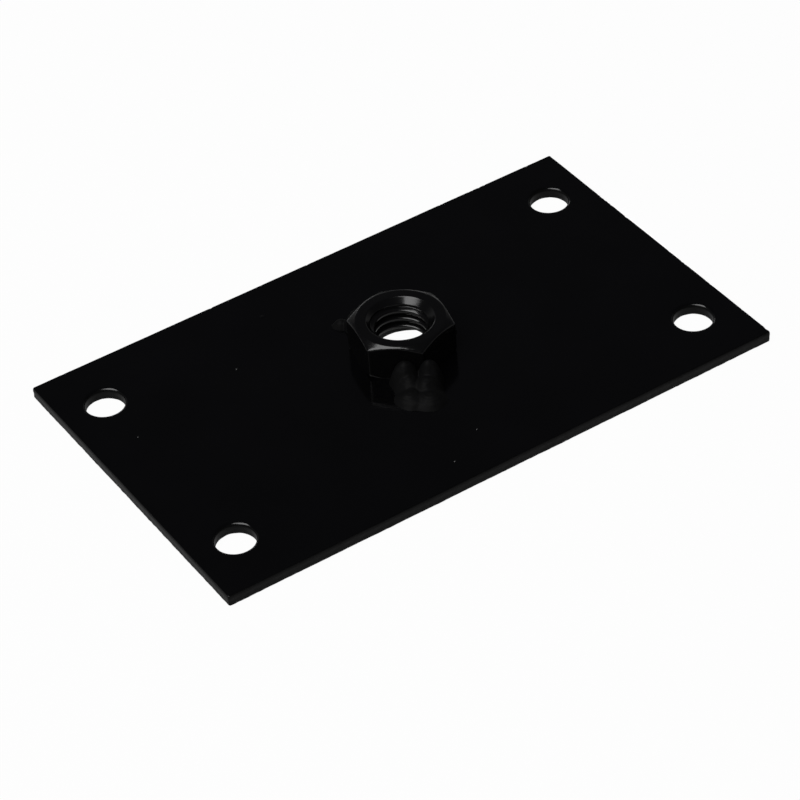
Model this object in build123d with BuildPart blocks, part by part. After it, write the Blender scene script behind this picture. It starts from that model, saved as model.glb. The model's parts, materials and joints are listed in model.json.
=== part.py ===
"""Motor mounting bracket: a flat steel plate with a thin hexagon nut welded over its middle hole.

A screw or stud fastens into the nut, and four corner holes bolt the plate to a motor or a frame.
Frame: the plate lies flat, +Z up, +X along its long side, with the origin at the middle of its
underside. All lengths are in millimetres, all angles in degrees.
"""

from build123d import *
import math
import os

# ---- plate ----
plate_length = 127.0
plate_width = 76.2
plate_thickness = 2.4
edge_break = 0.2                # small bevel round the top and bottom faces

# ---- corner holes ----
bolt_hole_diameter = 8.0
bolt_inset_x = 9.5              # hole centre to the plate's short side
bolt_inset_y = 13.1             # hole centre to the plate's long side
bolt_rim_radius = 0.7           # rolled upper rim, left by the punch

# ---- thin hexagon nut with a 1/2-13 UNC thread, 3/4 inch across flats ----
thread_diameter = 12.7
thread_pitch = 1.954
nut_across_flats = 19.05
nut_height = 7.9
nut_x = 2.2                     # the nut sits a little off the plate's middle
nut_y = 2.7
nut_turn = 19.6                 # direction of the first corner, from +X
crown_ratio = 0.95              # round top and bottom faces, as a share of the width across flats
crown_slope = 30.0              # slope of the corner chamfers
top_sink_diameter = 14.0        # mouth of the upper countersink
top_sink_angle = 45.0           # between its wall and the axis
foot_sink_diameter = 13.2
foot_sink_angle = 60.0

# ---- middle hole of the plate, which clears the screw below the nut ----
middle_hole_clearance = 3.0     # on the thread's diameter
middle_hole_shift = 1.4         # from the nut's axis, along +X

# ---- weld beads: puddles of metal that ran together beside a flat of the nut ----
# each puddle: distance out from the flat, distance along it from its middle (anticlockwise),
# radius of its round footprint on the plate, and rise above the plate
front_flat = 3                  # flats are counted anticlockwise from the first corner
front_puddles = [
    (1.4, 2.4, 4.2, 4.6),
    (1.2, 6.6, 4.2, 4.8),
    (6.2, 3.8, 3.8, 2.2),
    (6.0, 7.6, 4.0, 2.2),
]
left_flat = 1
left_puddles = [
    (2.4, -0.5, 3.0, 4.6),
    (5.2, 1.0, 2.2, 1.6),
]
right_flat = 5
right_puddles = [
    (0.4, 1.0, 2.2, 3.6),
]

# ---- sizes that follow ----
bolt_spacing_x = plate_length - 2 * bolt_inset_x
bolt_spacing_y = plate_width - 2 * bolt_inset_y
thread_minor_radius = thread_diameter / 2 - 0.54127 * thread_pitch
flat_distance = nut_across_flats / 2
corner_distance = flat_distance / math.cos(math.radians(30))
crown_radius = crown_ratio * flat_distance
crown_drop = (corner_distance - crown_radius) * math.tan(math.radians(crown_slope))
top_sink_depth = (top_sink_diameter / 2 - thread_minor_radius) / math.tan(math.radians(top_sink_angle))
foot_sink_depth = (foot_sink_diameter / 2 - thread_minor_radius) / math.tan(math.radians(foot_sink_angle))
nut_foot = Plane((nut_x, nut_y, plate_thickness))
nut_section = Plane(nut_foot.origin, x_dir=(1, 0, 0), z_dir=(0, -1, 0))
nut_axis = Axis(nut_foot.origin, (0, 0, 1))


def weld_bead(flat, puddles):
    """Weld metal beside one flat: its puddles lie on the plate and butt against the nut."""
    direction = math.radians(nut_turn + 30 + 60 * flat)
    outward = Vector(math.cos(direction), math.sin(direction))
    foot_of_flat = Plane(nut_foot.origin + outward * flat_distance, x_dir=outward, z_dir=(0, 0, 1))
    with BuildPart() as bead:
        for out, along, reach, rise in puddles:
            ball_radius = (reach**2 + rise**2) / (2 * rise)
            with Locations(foot_of_flat):
                with Locations((out, along, rise - ball_radius)):
                    Sphere(ball_radius)
        split(bisect_by=nut_foot, keep=Keep.TOP)
        add(nut_blank.part, mode=Mode.SUBTRACT)
    return bead.part


# ---- plate: sheared blank, corner holes punched from above, middle hole drilled ----
with BuildPart() as mounting_plate:
    with BuildSketch():
        Rectangle(plate_length, plate_width)
        with GridLocations(bolt_spacing_x, bolt_spacing_y, 2, 2):
            Circle(bolt_hole_diameter / 2, mode=Mode.SUBTRACT)
    extrude(amount=plate_thickness)
    top_and_bottom = mounting_plate.faces().filter_by(GeomType.PLANE).filter_by(Axis.Z)
    chamfer(top_and_bottom.edges().filter_by(GeomType.LINE), edge_break)
    punched_rims = mounting_plate.faces().sort_by(Axis.Z)[-1].inner_wires().edges()
    fillet(punched_rims, bolt_rim_radius)
    with Locations((nut_x + middle_hole_shift, nut_y, plate_thickness)):
        Hole((thread_diameter + middle_hole_clearance) / 2)
mounting_plate.part.label = "mounting_plate"

# ---- nut: hexagon bar crowned at both ends, then bored to the thread's minor diameter ----
with BuildPart() as nut_blank:
    with BuildSketch(nut_foot):
        RegularPolygon(corner_distance, 6, rotation=nut_turn)
    extrude(amount=nut_height)
    with BuildSketch(nut_section):
        with BuildLine():
            Polyline(
                (0, 0),
                (crown_radius, 0),
                (corner_distance, crown_drop),
                (corner_distance, nut_height - crown_drop),
                (crown_radius, nut_height),
                (0, nut_height),
                close=True,
            )
        make_face()
    revolve(axis=nut_axis, mode=Mode.INTERSECT)

with BuildPart() as weld_nut:
    add(nut_blank.part)
    with BuildSketch(nut_section):
        with BuildLine():
            Polyline(
                (0, 0),
                (foot_sink_diameter / 2, 0),
                (thread_minor_radius, foot_sink_depth),
                (thread_minor_radius, nut_height - top_sink_depth),
                (top_sink_diameter / 2, nut_height),
                (0, nut_height),
                close=True,
            )
        make_face()
    revolve(axis=nut_axis, mode=Mode.SUBTRACT)
weld_nut.part.label = "weld_nut"

# ---- weld metal: a large bead in front, and a tack on each of two flats behind it ----
front_weld_bead = weld_bead(front_flat, front_puddles)
front_weld_bead.label = "front_weld_bead"
left_weld_bead = weld_bead(left_flat, left_puddles)
left_weld_bead.label = "left_weld_bead"
right_weld_bead = weld_bead(right_flat, right_puddles)
right_weld_bead.label = "right_weld_bead"

os.makedirs("parts", exist_ok=True)
export_step(mounting_plate.part, "parts/mounting_plate.step")
export_step(weld_nut.part, "parts/weld_nut.step")
export_step(front_weld_bead, "parts/front_weld_bead.step")
export_step(left_weld_bead, "parts/left_weld_bead.step")
export_step(right_weld_bead, "parts/right_weld_bead.step")
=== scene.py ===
"""Looks of the motor mounting bracket: glossy black paint over a plate, a thin nut and its welds.

Meshes are built in millimetres in the part's frame; everything else is in metres.
"""

import json
import math

import bmesh
import bpy
import numpy as np
from mathutils import Matrix, Vector, noise


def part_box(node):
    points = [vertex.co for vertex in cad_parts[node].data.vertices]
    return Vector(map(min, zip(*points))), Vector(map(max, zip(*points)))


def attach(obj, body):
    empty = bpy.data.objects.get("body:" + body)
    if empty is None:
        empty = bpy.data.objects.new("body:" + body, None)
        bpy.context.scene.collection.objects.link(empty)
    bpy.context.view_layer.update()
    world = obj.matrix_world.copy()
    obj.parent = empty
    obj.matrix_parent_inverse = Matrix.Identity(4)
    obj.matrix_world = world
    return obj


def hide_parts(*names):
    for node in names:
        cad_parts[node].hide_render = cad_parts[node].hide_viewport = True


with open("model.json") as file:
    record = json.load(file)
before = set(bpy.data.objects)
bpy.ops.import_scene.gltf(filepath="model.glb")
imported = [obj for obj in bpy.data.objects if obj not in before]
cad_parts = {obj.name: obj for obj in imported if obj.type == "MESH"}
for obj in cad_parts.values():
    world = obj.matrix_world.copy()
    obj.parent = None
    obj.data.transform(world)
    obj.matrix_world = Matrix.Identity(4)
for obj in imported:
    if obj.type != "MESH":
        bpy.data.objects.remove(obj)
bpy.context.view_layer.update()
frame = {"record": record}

MM = 0.001

# ---- places read from the frame, in millimetres ----
plate_low, plate_high = (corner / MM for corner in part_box("mounting_plate"))
nut_low, nut_high = (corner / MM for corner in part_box("weld_nut"))
PLATE_LENGTH = plate_high.x - plate_low.x
PLATE_WIDTH = plate_high.y - plate_low.y
PLATE_TOP = plate_high.z
NUT_X = (nut_low.x + nut_high.x) / 2
NUT_Y = (nut_low.y + nut_high.y) / 2
NUT_FOOT = nut_low.z
NUT_HEIGHT = nut_high.z - nut_low.z

mounts = {mount["name"]: mount for mount in frame["record"]["mounts"]}
HOLE_SPACING_X = mounts["corner_holes"]["dims"]["spacing_x_mm"]
HOLE_SPACING_Y = mounts["corner_holes"]["dims"]["spacing_y_mm"]
HOLE_RADIUS = mounts["corner_holes"]["dims"]["hole_r_mm"]
BORE_RADIUS = mounts["nut_thread"]["dims"]["r_mm"]

# ---- sizes of the nut that the frame doesn't name ----
ACROSS_FLATS = 19.05
NUT_TURN = math.radians(19.6)
CROWN_RADIUS = 0.95 * ACROSS_FLATS / 2
CROWN_SLOPE = math.radians(30)
THREAD_PITCH = 1.954
THREAD_DEPTH = 0.95
TOP_SINK_RADIUS = 7.0
FOOT_SINK_RADIUS = 6.6
FOOT_SINK_SLOPE = math.radians(60)
FOOT_PAINT = 1.0                # how far paint fills the gap below the crowned foot
MIDDLE_HOLE_RADIUS = 7.85
MIDDLE_HOLE_SHIFT = 1.4


def smooth_step(value, low, high):
    """0 below low, 1 above high and a soft ramp between."""
    t = min(max((value - low) / (high - low), 0.0), 1.0)
    return t * t * (3 - 2 * t)


def soft_min(a, b, width):
    """The lesser of two values, rounded where they cross."""
    return 0.5 * (a + b - math.sqrt((a - b) ** 2 + width * width))


def speckle(x, y, z, scale, seed):
    """Smooth noise from about -1 to 1, the same in each run."""
    return noise.noise(Vector((x / scale + seed, y / scale - seed, z / scale + 2 * seed)))


def make_mesh(name, points_mm, faces):
    """A smooth mesh object from points in millimetres."""
    mesh = bpy.data.meshes.new(name)
    mesh.from_pydata([tuple(c * MM for c in p) for p in points_mm], [], faces)
    mesh.validate()
    mesh.polygons.foreach_set("use_smooth", [True] * len(mesh.polygons))
    piece = bpy.data.objects.new(name, mesh)
    bpy.context.scene.collection.objects.link(piece)
    return piece


def face_outwards(piece):
    """Turns all faces of a closed mesh outwards."""
    bm = bmesh.new()
    bm.from_mesh(piece.data)
    bmesh.ops.recalc_face_normals(bm, faces=bm.faces)
    bm.to_mesh(piece.data)
    bm.free()


def join_rings(rings, faces, first=0):
    """Quads between closed rings of equal length that were added one after another."""
    count = len(rings[0])
    for row in range(len(rings) - 1):
        for column in range(count):
            a = first + row * count + column
            b = first + row * count + (column + 1) % count
            faces.append((a, b, b + count, a + count))


# ---------------------------------------------------------------- plate
def outline(step=0.3, corner=0.5):
    """Points and outward directions round the plate's edge, anticlockwise."""
    half_x = PLATE_LENGTH / 2
    half_y = PLATE_WIDTH / 2
    path = []
    sides = [((half_x, -half_y), (0, 1)), ((half_x, half_y), (-1, 0)),
             ((-half_x, half_y), (0, -1)), ((-half_x, -half_y), (1, 0))]
    for (start_x, start_y), (dir_x, dir_y) in sides:
        length = PLATE_WIDTH if dir_x == 0 else PLATE_LENGTH
        out = (dir_y, -dir_x)
        turn = math.atan2(out[1], out[0])
        centre_x = start_x - out[0] * corner + dir_x * corner
        centre_y = start_y - out[1] * corner + dir_y * corner
        for k in range(5):
            angle = turn - math.pi / 2 + (k + 0.5) * math.pi / 10
            out_x = math.cos(angle)
            out_y = math.sin(angle)
            path.append((centre_x + corner * out_x, centre_y + corner * out_y, out_x, out_y))
        count = int((length - 2 * corner) / step)
        for k in range(count + 1):
            along = corner + (length - 2 * corner) * k / count
            path.append((start_x + dir_x * along, start_y + dir_y * along, out[0], out[1]))
    return path


def circle(x, y, radius, count=160):
    """Points and directions away from the plate's metal round a hole, clockwise."""
    path = []
    for k in range(count):
        angle = -2 * math.pi * k / count
        cosine = math.cos(angle)
        sine = math.sin(angle)
        path.append((x + radius * cosine, y + radius * sine, -cosine, -sine))
    return path


def edge_rings(path, profile, wear):
    """One ring of points for each step of an edge's section: depth into the metal, and height."""
    rings = []
    for depth, height in profile:
        ring = []
        for x, y, out_x, out_y in path:
            inset = depth + wear(x, y, depth, height)
            ring.append((x - out_x * inset, y - out_y * inset, height))
        rings.append(ring)
    return rings


def sheared_wear(x, y, depth, height):
    """Unevenness of a sheared edge: a slow waver, a torn lower half and nicks along its rim."""
    if depth > 0.3:
        return 0.0
    below_top = PLATE_TOP - height
    waver = 0.04 + 0.04 * speckle(x, y, 0, 6.0, 3.1)
    torn = smooth_step(below_top, 0.6, 1.4) * (0.05 + 0.06 * speckle(x, y, height, 0.8, 9.7))
    rim = 1 - smooth_step(below_top, 0.1, 0.5)
    stretches = smooth_step(speckle(x, y, 0, 3.0, 7.7), 0.05, 0.35)
    nicks = stretches * smooth_step(speckle(x, y, 0, 0.55, 2.9), 0.1, 0.5)
    return waver + torn + 0.12 * rim * nicks


def punched_wear(x, y, depth, height):
    """Unevenness of a punched hole, torn in its lower part."""
    if depth > 0.9:
        return 0.0
    torn = smooth_step(PLATE_TOP - height, 0.9, 1.6) * (0.04 + 0.06 * speckle(x, y, height, 0.9, 4.3))
    return torn + 0.02 * speckle(x, y, height, 2.0, 5.9)


def rounded_edge(radius, drop, bottom_break, flat_rim):
    """Section of an edge, from the top face round to the underside.

    The upper rim is a quarter ellipse that reaches radius into the face and drop down the wall.
    """
    section = [(radius + flat_rim, PLATE_TOP)]
    for k in range(7):
        angle = math.pi / 2 * k / 6
        section.append((radius * (1 - math.sin(angle)), PLATE_TOP - drop * (1 - math.cos(angle))))
    wall_top = PLATE_TOP - drop
    for k in range(1, 5):
        section.append((0.0, wall_top + (bottom_break - wall_top) * k / 5))
    section.append((0.0, bottom_break))
    section.append((0.35 * bottom_break, 0.35 * bottom_break))
    section.append((bottom_break, 0.0))
    section.append((radius + flat_rim, 0.0))
    return section


# specks caught in the paint of the plate's top: x, y, radius and rise
PAINT_NIBS = [
    (-27.7, 17.8, 0.35, 0.14),
    (-54.0, 11.8, 0.3, 0.12),
    (0.0, -26.8, 0.3, 0.12),
    (-8.7, -32.0, 0.35, 0.14),
    (-15.0, 28.8, 0.8, 0.08),
]
NIB_RINGS = 6
NIB_SIDES = 20
NIB_SUNK = 0.02


def add_nib(points, faces, x, y, radius, rise):
    """Low dome of paint on the plate's top."""
    first = len(points)
    rings = []
    for row in range(NIB_RINGS):
        share = 1 - row / NIB_RINGS
        swell = 0.5 * (1 + math.cos(math.pi * share))
        height = PLATE_TOP - NIB_SUNK + (rise + NIB_SUNK) * swell
        ring = []
        for k in range(NIB_SIDES):
            angle = 2 * math.pi * k / NIB_SIDES
            out = radius * share
            ring.append((x + out * math.cos(angle), y + out * math.sin(angle), height))
        rings.append(ring)
        points.extend(ring)
    join_rings(rings, faces, first)
    last = first + (NIB_RINGS - 1) * NIB_SIDES
    faces.append(tuple(range(last, last + NIB_SIDES)))
    faces.append(tuple(reversed(range(first, first + NIB_SIDES))))


def build_plate():
    """Plate with worn edges all round and rolled rims on its holes."""
    points = []
    faces = []
    top_loops = []
    low_loops = []
    sheared_edge = rounded_edge(radius=0.22, drop=0.7, bottom_break=0.12, flat_rim=0.23)
    punched_rim = rounded_edge(radius=0.7, drop=0.7, bottom_break=0.08, flat_rim=0.3)
    drilled_rim = rounded_edge(radius=0.1, drop=0.1, bottom_break=0.1, flat_rim=0.3)
    loops = [(outline(), sheared_edge, sheared_wear)]
    for sign_x in (-1, 1):
        for sign_y in (-1, 1):
            path = circle(sign_x * HOLE_SPACING_X / 2, sign_y * HOLE_SPACING_Y / 2, HOLE_RADIUS)
            loops.append((path, punched_rim, punched_wear))
    path = circle(NUT_X + MIDDLE_HOLE_SHIFT, NUT_Y, MIDDLE_HOLE_RADIUS)
    loops.append((path, drilled_rim, punched_wear))
    for path, section, wear in loops:
        rings = edge_rings(path, section, wear)
        first = len(points)
        for ring in rings:
            points.extend(ring)
        join_rings(rings, faces, first)
        count = len(path)
        top_loops.append(range(first, first + count))
        last = first + (len(rings) - 1) * count
        low_loops.append(range(last, last + count))
    for x, y, radius, rise in PAINT_NIBS:
        add_nib(points, faces, x, y, radius, rise)
    piece = make_mesh("painted_plate", points, faces)
    cap_faces(piece, top_loops)
    cap_faces(piece, low_loops)
    face_outwards(piece)
    return piece


def cap_faces(piece, loops):
    """Fills the flat face between an outer loop and the loops of the holes."""
    bm = bmesh.new()
    bm.from_mesh(piece.data)
    bm.verts.ensure_lookup_table()
    edges = []
    for loop in loops:
        indices = list(loop)
        for a, b in zip(indices, indices[1:] + indices[:1]):
            edges.append(bm.edges.get((bm.verts[a], bm.verts[b])))
    result = bmesh.ops.triangle_fill(bm, use_beauty=True, use_dissolve=False, edges=edges)
    for item in result["geom"]:
        if isinstance(item, bmesh.types.BMFace):
            item.smooth = False
    bm.to_mesh(piece.data)
    bm.free()


# ---------------------------------------------------------------- nut
def hexagon_radius(angle):
    """Distance from the axis to the hexagon's side, with rounded corners."""
    local = (angle - NUT_TURN) % (math.pi / 3) - math.pi / 6
    flat = ACROSS_FLATS / 2
    side = flat / math.cos(local)
    corner = flat / math.cos(math.pi / 6)
    return soft_min(side, corner - 0.04, 0.05)


def crown_limit(height):
    """Radius of the crowned ends at a height above the foot, where paint fills half of the gap."""
    top = CROWN_RADIUS + (NUT_HEIGHT - height) / math.tan(CROWN_SLOPE)
    foot = CROWN_RADIUS + FOOT_PAINT + height / math.tan(CROWN_SLOPE)
    return min(top, foot)


def thread_radius(angle, height):
    """Radius of the thread's surface, a right-hand helix with softened crests."""
    phase = (height / THREAD_PITCH - angle / (2 * math.pi)) % 1.0
    distance = abs(phase - 0.5) * 2
    shape = smooth_step(distance, 0.18, 0.82)
    return BORE_RADIUS + THREAD_DEPTH * shape


def nut_angles():
    """One column for each degree, and two more beside each corner of the hexagon."""
    angles = list(np.linspace(0, 2 * math.pi, 361)[:-1])
    for corner in range(6):
        for nudge in (-0.3, 0.3):
            angles.append((NUT_TURN + corner * math.pi / 3 + math.radians(nudge)) % (2 * math.pi))
    angles.sort()
    return angles


def bore_radius(angle, height):
    """Radius of the bore: the thread, opened out by a countersink at each end."""
    top_sink = TOP_SINK_RADIUS - (NUT_HEIGHT - height)
    foot_sink = FOOT_SINK_RADIUS - height * math.tan(FOOT_SINK_SLOPE)
    radius = thread_radius(angle, height)
    radius = -soft_min(-radius, -top_sink, 0.12)
    return -soft_min(-radius, -foot_sink, 0.1)


def build_nut():
    """Crowned hexagon with countersinks and a real helical thread."""
    angles = nut_angles()
    from_end = [0.0, 0.06, 0.15, 0.3, 0.5, 0.75, 1.0, 1.25, 1.5]
    middle = list(np.linspace(1.8, NUT_HEIGHT - 1.8, 8))
    side_heights = from_end + middle + [NUT_HEIGHT - level for level in reversed(from_end)]
    mouth = TOP_SINK_RADIUS + 0.15
    top_radii = (CROWN_RADIUS - 0.35, (CROWN_RADIUS + mouth) / 2, mouth + 0.1, mouth - 0.03)
    bore_heights = np.linspace(NUT_HEIGHT - 0.06, 0.05, 110)

    # rings from the foot up the sides, in across the top, down the bore and back to the foot
    rings = []
    for height in side_heights:
        crown = crown_limit(height)
        rings.append([(soft_min(hexagon_radius(angle), crown, 0.04), angle, height) for angle in angles])
    for radius in top_radii:
        rings.append([(radius, angle, NUT_HEIGHT) for angle in angles])
    for height in bore_heights:
        rings.append([(bore_radius(angle, height), angle, height) for angle in angles])
    rings.append([(FOOT_SINK_RADIUS + 0.1, angle, 0.0) for angle in angles])

    points = []
    faces = []
    for ring in rings:
        for radius, angle, height in ring:
            x = NUT_X + radius * math.cos(angle)
            y = NUT_Y + radius * math.sin(angle)
            points.append((x, y, NUT_FOOT + height))
    join_rings(rings, faces)
    count = len(angles)
    last = (len(rings) - 1) * count
    for column in range(count):
        after = (column + 1) % count
        faces.append((last + column, last + after, after, column))
    piece = make_mesh("painted_nut", points, faces)
    face_outwards(piece)
    return piece


# ---------------------------------------------------------------- welds
# each puddle: distance out from the flat, distance along it from its middle (anticlockwise),
# radius of its footprint and rise above the plate
FRONT_PUDDLES = [
    (0.6, 1.9, 3.4, 5.0),
    (0.4, 6.6, 3.0, 5.4),
    (3.0, 2.9, 3.1, 3.0),
    (3.2, 6.4, 3.3, 3.2),
    (6.2, 3.7, 3.5, 2.0),
    (6.2, 7.4, 3.6, 2.0),
]
LEFT_PUDDLES = [
    (2.4, -0.6, 2.8, 4.4),
    (5.4, 0.8, 1.9, 1.5),
]
RIGHT_PUDDLES = [
    (0.4, 1.0, 2.2, 3.4),
]


WELD_STEP = 0.14                # spacing of the weld's grid
WELD_SUNK = 0.35                # how deep its rim sinks into the plate
WELD_REACH_IN = 1.2             # how far it reaches in behind the flat
WELD_MARGIN = 0.6               # spare grid round the puddles
WELD_BLEND = 3.2                # a larger value keeps the puddles more apart


def weld_height(out, along, puddles, seed):
    """Height of run-together puddles above the plate, with faint ripples and grain."""
    warp_out = out + 0.35 * speckle(out, along, 0, 2.2, seed)
    warp_along = along + 0.35 * speckle(out, along, 5, 2.2, seed + 4)
    total = 0.0
    nearest = math.inf
    for middle_out, middle_along, reach, rise in puddles:
        away = math.hypot(warp_out - middle_out, warp_along - middle_along)
        cap = rise * (1 - (away / reach) ** 2)
        total += math.exp(WELD_BLEND * max(cap, -1.5))
        nearest = min(nearest, away)
    level = math.log(total) / WELD_BLEND
    ripple = 0.025 * math.sin(2 * math.pi * nearest / 0.85) * smooth_step(level, 0.2, 1.2)
    grain = 0.03 * speckle(out, along, level, 0.9, seed + 8)
    return max(level + ripple + grain, -WELD_SUNK)


def build_weld(name, flat, puddles, seed):
    """Weld metal as a height field that sinks into the plate at its rim, closed from below."""
    turn = NUT_TURN + math.radians(30 + 60 * flat)
    low_out = -WELD_REACH_IN
    high_out = max(out + reach for out, along, reach, rise in puddles) + WELD_MARGIN
    low_along = min(along - reach for out, along, reach, rise in puddles) - WELD_MARGIN
    high_along = max(along + reach for out, along, reach, rise in puddles) + WELD_MARGIN
    rows = int((high_out - low_out) / WELD_STEP) + 1
    columns = int((high_along - low_along) / WELD_STEP) + 1
    grid = {}
    for row in range(rows):
        for column in range(columns):
            out = low_out + row * WELD_STEP
            along = low_along + column * WELD_STEP
            grid[row, column] = weld_height(out, along, puddles, seed)

    points = []
    index = {}

    def vertex(row, column, top):
        """Number of the point above or below a place on the grid, made at its first use."""
        key = (row, column, top)
        if key not in index:
            out = ACROSS_FLATS / 2 + low_out + row * WELD_STEP
            along = low_along + column * WELD_STEP
            x = NUT_X + out * math.cos(turn) - along * math.sin(turn)
            y = NUT_Y + out * math.sin(turn) + along * math.cos(turn)
            z = PLATE_TOP + (grid[row, column] if top else -WELD_SUNK - 0.1)
            index[key] = len(points)
            points.append((x, y, z))
        return index[key]

    cells = {}
    for row in range(rows - 1):
        for column in range(columns - 1):
            corners = [(row, column), (row + 1, column), (row + 1, column + 1), (row, column + 1)]
            if max(grid[corner] for corner in corners) > -0.2:
                cells[row, column] = corners
    faces = []
    for (row, column), corners in cells.items():
        faces.append([vertex(r, c, True) for r, c in corners])
        faces.append([vertex(r, c, False) for r, c in reversed(corners)])
        neighbours = [(row, column - 1), (row + 1, column), (row, column + 1), (row - 1, column)]
        for neighbour, a, b in zip(neighbours, corners, corners[1:] + corners[:1]):
            if neighbour not in cells:
                faces.append([vertex(*a, True), vertex(*a, False), vertex(*b, False), vertex(*b, True)])
    piece = make_mesh(name, points, faces)
    face_outwards(piece)
    return piece


# ---------------------------------------------------------------- paint
def paint_material(name, base, roughness, gloss, bump_scale, bump_depth):
    """Black paint with faint mottling, orange peel and uneven roughness; gloss scales reflections."""
    material = bpy.data.materials.new(name)
    material.use_nodes = True
    nodes = material.node_tree.nodes
    links = material.node_tree.links
    shader = nodes["Principled BSDF"]
    shader.inputs["Specular IOR Level"].default_value = gloss
    place = nodes.new("ShaderNodeTexCoord")
    mottle = nodes.new("ShaderNodeTexNoise")
    mottle.inputs["Scale"].default_value = 60
    mottle.inputs["Detail"].default_value = 5
    links.new(place.outputs["Object"], mottle.inputs["Vector"])
    colour = nodes.new("ShaderNodeValToRGB")
    dark, light = colour.color_ramp.elements
    dark.position = 0.3
    dark.color = [c * 0.75 for c in base] + [1]
    light.position = 0.7
    light.color = [c * 1.25 for c in base] + [1]
    links.new(mottle.outputs["Fac"], colour.inputs["Fac"])
    links.new(colour.outputs["Color"], shader.inputs["Base Color"])
    sheen = nodes.new("ShaderNodeMapRange")
    sheen.inputs["To Min"].default_value = roughness * 0.8
    sheen.inputs["To Max"].default_value = roughness * 1.25
    links.new(mottle.outputs["Fac"], sheen.inputs["Value"])
    links.new(sheen.outputs["Result"], shader.inputs["Roughness"])
    peel = nodes.new("ShaderNodeTexNoise")
    peel.inputs["Scale"].default_value = bump_scale
    peel.inputs["Detail"].default_value = 3
    links.new(place.outputs["Object"], peel.inputs["Vector"])
    bump = nodes.new("ShaderNodeBump")
    bump.inputs["Strength"].default_value = 0.3
    bump.inputs["Distance"].default_value = bump_depth
    links.new(peel.outputs["Fac"], bump.inputs["Height"])
    links.new(bump.outputs["Normal"], shader.inputs["Normal"])
    return material


def paint_edges(plate):
    """Gives the sheared edges and the walls of the holes a rougher, duller paint."""
    for face in plate.data.polygons:
        if abs(face.normal.z) < 0.7:
            face.material_index = 1


def dress(piece, node, material):
    """Puts a finished piece in the place of its CAD node."""
    piece.data.materials.append(material)
    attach(piece, "root")
    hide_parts(node)


# ---------------------------------------------------------------- stage
FLOOR_SIZE = 3.0
FLOOR_GLOW = 0.97               # share of plain white, to the camera and in reflections
FLOOR_IN_REFLECTIONS = 0.3      # brightness of that white in reflections


def build_floor():
    """Pale floor, white to the camera and dimmer in reflections, that keeps a faint shadow."""
    corners = [(-1, -1), (1, -1), (1, 1), (-1, 1)]
    mesh = bpy.data.meshes.new("floor")
    mesh.from_pydata([(x * FLOOR_SIZE, y * FLOOR_SIZE, 0) for x, y in corners], [], [(0, 1, 2, 3)])
    floor = bpy.data.objects.new("floor", mesh)
    bpy.context.scene.collection.objects.link(floor)
    floor.location.z = -0.0001
    material = bpy.data.materials.new("pale_floor")
    material.use_nodes = True
    nodes = material.node_tree.nodes
    links = material.node_tree.links
    matt = nodes["Principled BSDF"]
    matt.inputs["Base Color"].default_value = (0.85, 0.85, 0.85, 1)
    matt.inputs["Roughness"].default_value = 0.9
    matt.inputs["Specular IOR Level"].default_value = 0.0
    rays = nodes.new("ShaderNodeLightPath")
    glow = nodes.new("ShaderNodeEmission")
    strength = nodes.new("ShaderNodeMath")
    strength.operation = "MULTIPLY_ADD"
    strength.inputs[1].default_value = 1 - FLOOR_IN_REFLECTIONS
    strength.inputs[2].default_value = FLOOR_IN_REFLECTIONS
    seen = nodes.new("ShaderNodeMath")
    seen.operation = "MAXIMUM"
    seen_through = nodes.new("ShaderNodeMath")
    seen_through.operation = "MAXIMUM"
    share = nodes.new("ShaderNodeMath")
    share.operation = "MULTIPLY"
    share.inputs[1].default_value = FLOOR_GLOW
    blend = nodes.new("ShaderNodeMixShader")
    links.new(rays.outputs["Is Camera Ray"], strength.inputs[0])
    links.new(strength.outputs[0], glow.inputs["Strength"])
    links.new(rays.outputs["Is Camera Ray"], seen.inputs[0])
    links.new(rays.outputs["Is Glossy Ray"], seen.inputs[1])
    links.new(seen.outputs[0], seen_through.inputs[0])
    links.new(rays.outputs["Is Transmission Ray"], seen_through.inputs[1])
    links.new(seen_through.outputs[0], share.inputs[0])
    links.new(share.outputs[0], blend.inputs[0])
    links.new(matt.outputs[0], blend.inputs[1])
    links.new(glow.outputs[0], blend.inputs[2])
    links.new(blend.outputs[0], nodes["Material Output"].inputs["Surface"])
    mesh.materials.append(material)


LAMP_DISTANCE = 1.2


def direction(azimuth, elevation):
    """Unit vector at an angle round from +X and an angle above the horizon, in degrees."""
    a = math.radians(azimuth)
    e = math.radians(elevation)
    return Vector((math.cos(a) * math.cos(e), math.sin(a) * math.cos(e), math.sin(e)))


def area_light(name, azimuth, elevation, width, height, radiance):
    """Soft box that faces the bracket; radiance is the brightness that a reflection sees."""
    data = bpy.data.lights.new(name, "AREA")
    data.shape = "RECTANGLE"
    data.size = width
    data.size_y = height
    data.energy = radiance * math.pi * width * height
    lamp = bpy.data.objects.new(name, data)
    bpy.context.scene.collection.objects.link(lamp)
    lamp.location = direction(azimuth, elevation) * LAMP_DISTANCE
    lamp.rotation_euler = lamp.location.to_track_quat("Z", "Y").to_euler()


def build_world():
    """Dim studio above, brighter towards the horizon."""
    world = bpy.data.worlds.new("studio")
    bpy.context.scene.world = world
    world.use_nodes = True
    nodes = world.node_tree.nodes
    links = world.node_tree.links
    place = nodes.new("ShaderNodeTexCoord")
    split = nodes.new("ShaderNodeSeparateXYZ")
    ramp = nodes.new("ShaderNodeValToRGB")
    links.new(place.outputs["Generated"], split.inputs[0])
    links.new(split.outputs["Z"], ramp.inputs["Fac"])
    horizon, overhead = ramp.color_ramp.elements
    horizon.position = 0.0
    horizon.color = (0.15, 0.15, 0.15, 1)
    overhead.position = 0.4
    overhead.color = (0.035, 0.035, 0.038, 1)
    low_sky = ramp.color_ramp.elements.new(0.2)
    low_sky.color = (0.12, 0.12, 0.12, 1)
    links.new(ramp.outputs["Color"], nodes["Background"].inputs["Color"])


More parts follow.
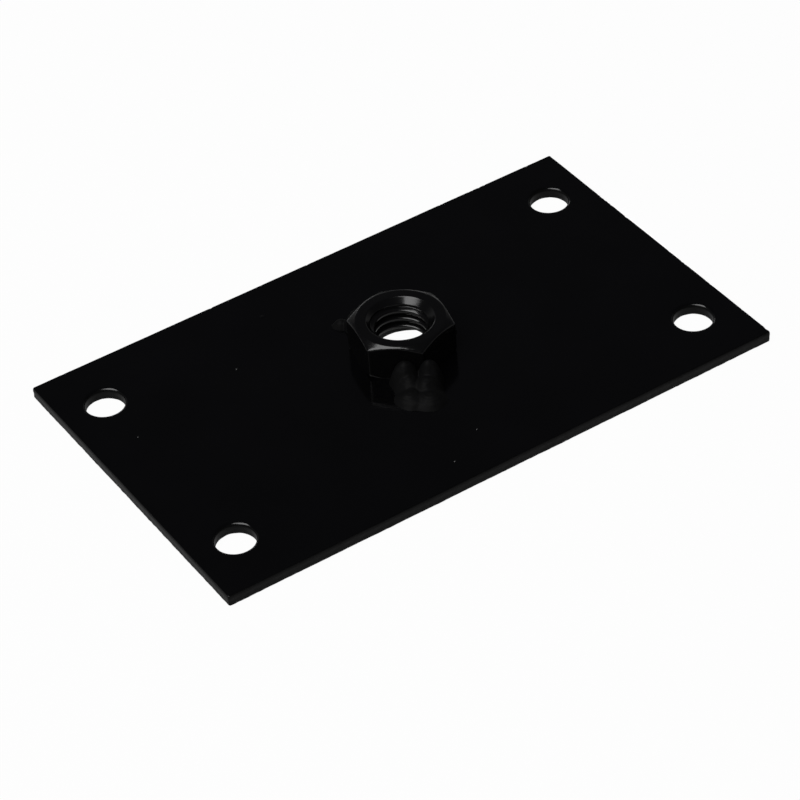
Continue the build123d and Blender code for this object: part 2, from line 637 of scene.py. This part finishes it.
CAMERA_AZIMUTH = math.radians(-30.42)
CAMERA_ELEVATION = math.radians(40.03)
CAMERA_ROLL = math.radians(-4.69)
CAMERA_DISTANCE = 0.6640
CAMERA_LENS = 149.3
ORIGIN_RIGHT = 0.000354         # the origin's place right of the middle of the view
ORIGIN_UP = 0.006234            # and above it


def build_camera():
    """Camera with a long lens, in front of the bracket's left half and 40 degrees above it."""
    a = CAMERA_AZIMUTH
    e = CAMERA_ELEVATION
    r = CAMERA_ROLL
    back = Vector((math.sin(a) * math.cos(e), -math.cos(a) * math.cos(e), math.sin(e)))
    level = Vector((math.cos(a), math.sin(a), 0))
    upright = back.cross(level)
    right = math.cos(r) * level + math.sin(r) * upright
    up = -math.sin(r) * level + math.cos(r) * upright
    place = back * CAMERA_DISTANCE - right * ORIGIN_RIGHT - up * ORIGIN_UP
    data = bpy.data.cameras.new("camera")
    data.lens = CAMERA_LENS
    data.sensor_width = 36
    camera = bpy.data.objects.new("camera", data)
    bpy.context.scene.collection.objects.link(camera)
    camera.matrix_world = Matrix((
        (right.x, up.x, back.x, place.x),
        (right.y, up.y, back.y, place.y),
        (right.z, up.z, back.z, place.z),
        (0, 0, 0, 1),
    ))
    bpy.context.scene.camera = camera


bpy.context.scene.view_settings.view_transform = "Standard"
build_camera()
build_floor()
build_world()
area_light("left_box", azimuth=186, elevation=62, width=0.85, height=0.85, radiance=4.0)
area_light("back_strip", azimuth=76, elevation=14, width=0.3, height=0.12, radiance=1.6)
area_light("back_card", azimuth=54, elevation=13, width=0.12, height=0.12, radiance=1.0)

plate_paint = paint_material("plate_paint", base=(0.0012, 0.0012, 0.0015), roughness=0.12, gloss=0.5,
                             bump_scale=900, bump_depth=0.00004)
edge_paint = paint_material("edge_paint", base=(0.003, 0.003, 0.0031), roughness=0.35, gloss=0.22,
                            bump_scale=1600, bump_depth=0.00008)
nut_paint = paint_material("nut_paint", base=(0.003, 0.003, 0.0032), roughness=0.16, gloss=0.5,
                           bump_scale=700, bump_depth=0.00004)
weld_paint = paint_material("weld_paint", base=(0.0052, 0.0052, 0.0054), roughness=0.55, gloss=0.06,
                            bump_scale=900, bump_depth=0.00006)

plate = build_plate()
dress(plate, "mounting_plate", plate_paint)
plate.data.materials.append(edge_paint)
paint_edges(plate)
dress(build_nut(), "weld_nut", nut_paint)
# each weld: its side, its flat counted anticlockwise from the first corner, its puddles and seed
WELDS = [
    ("front", 3, FRONT_PUDDLES, 1.3),
    ("left", 1, LEFT_PUDDLES, 6.1),
    ("right", 5, RIGHT_PUDDLES, 8.7),
]
for side, flat, puddles, seed in WELDS:
    weld = build_weld("painted_%s_weld" % side, flat, puddles, seed)
    dress(weld, "%s_weld_bead" % side, weld_paint)
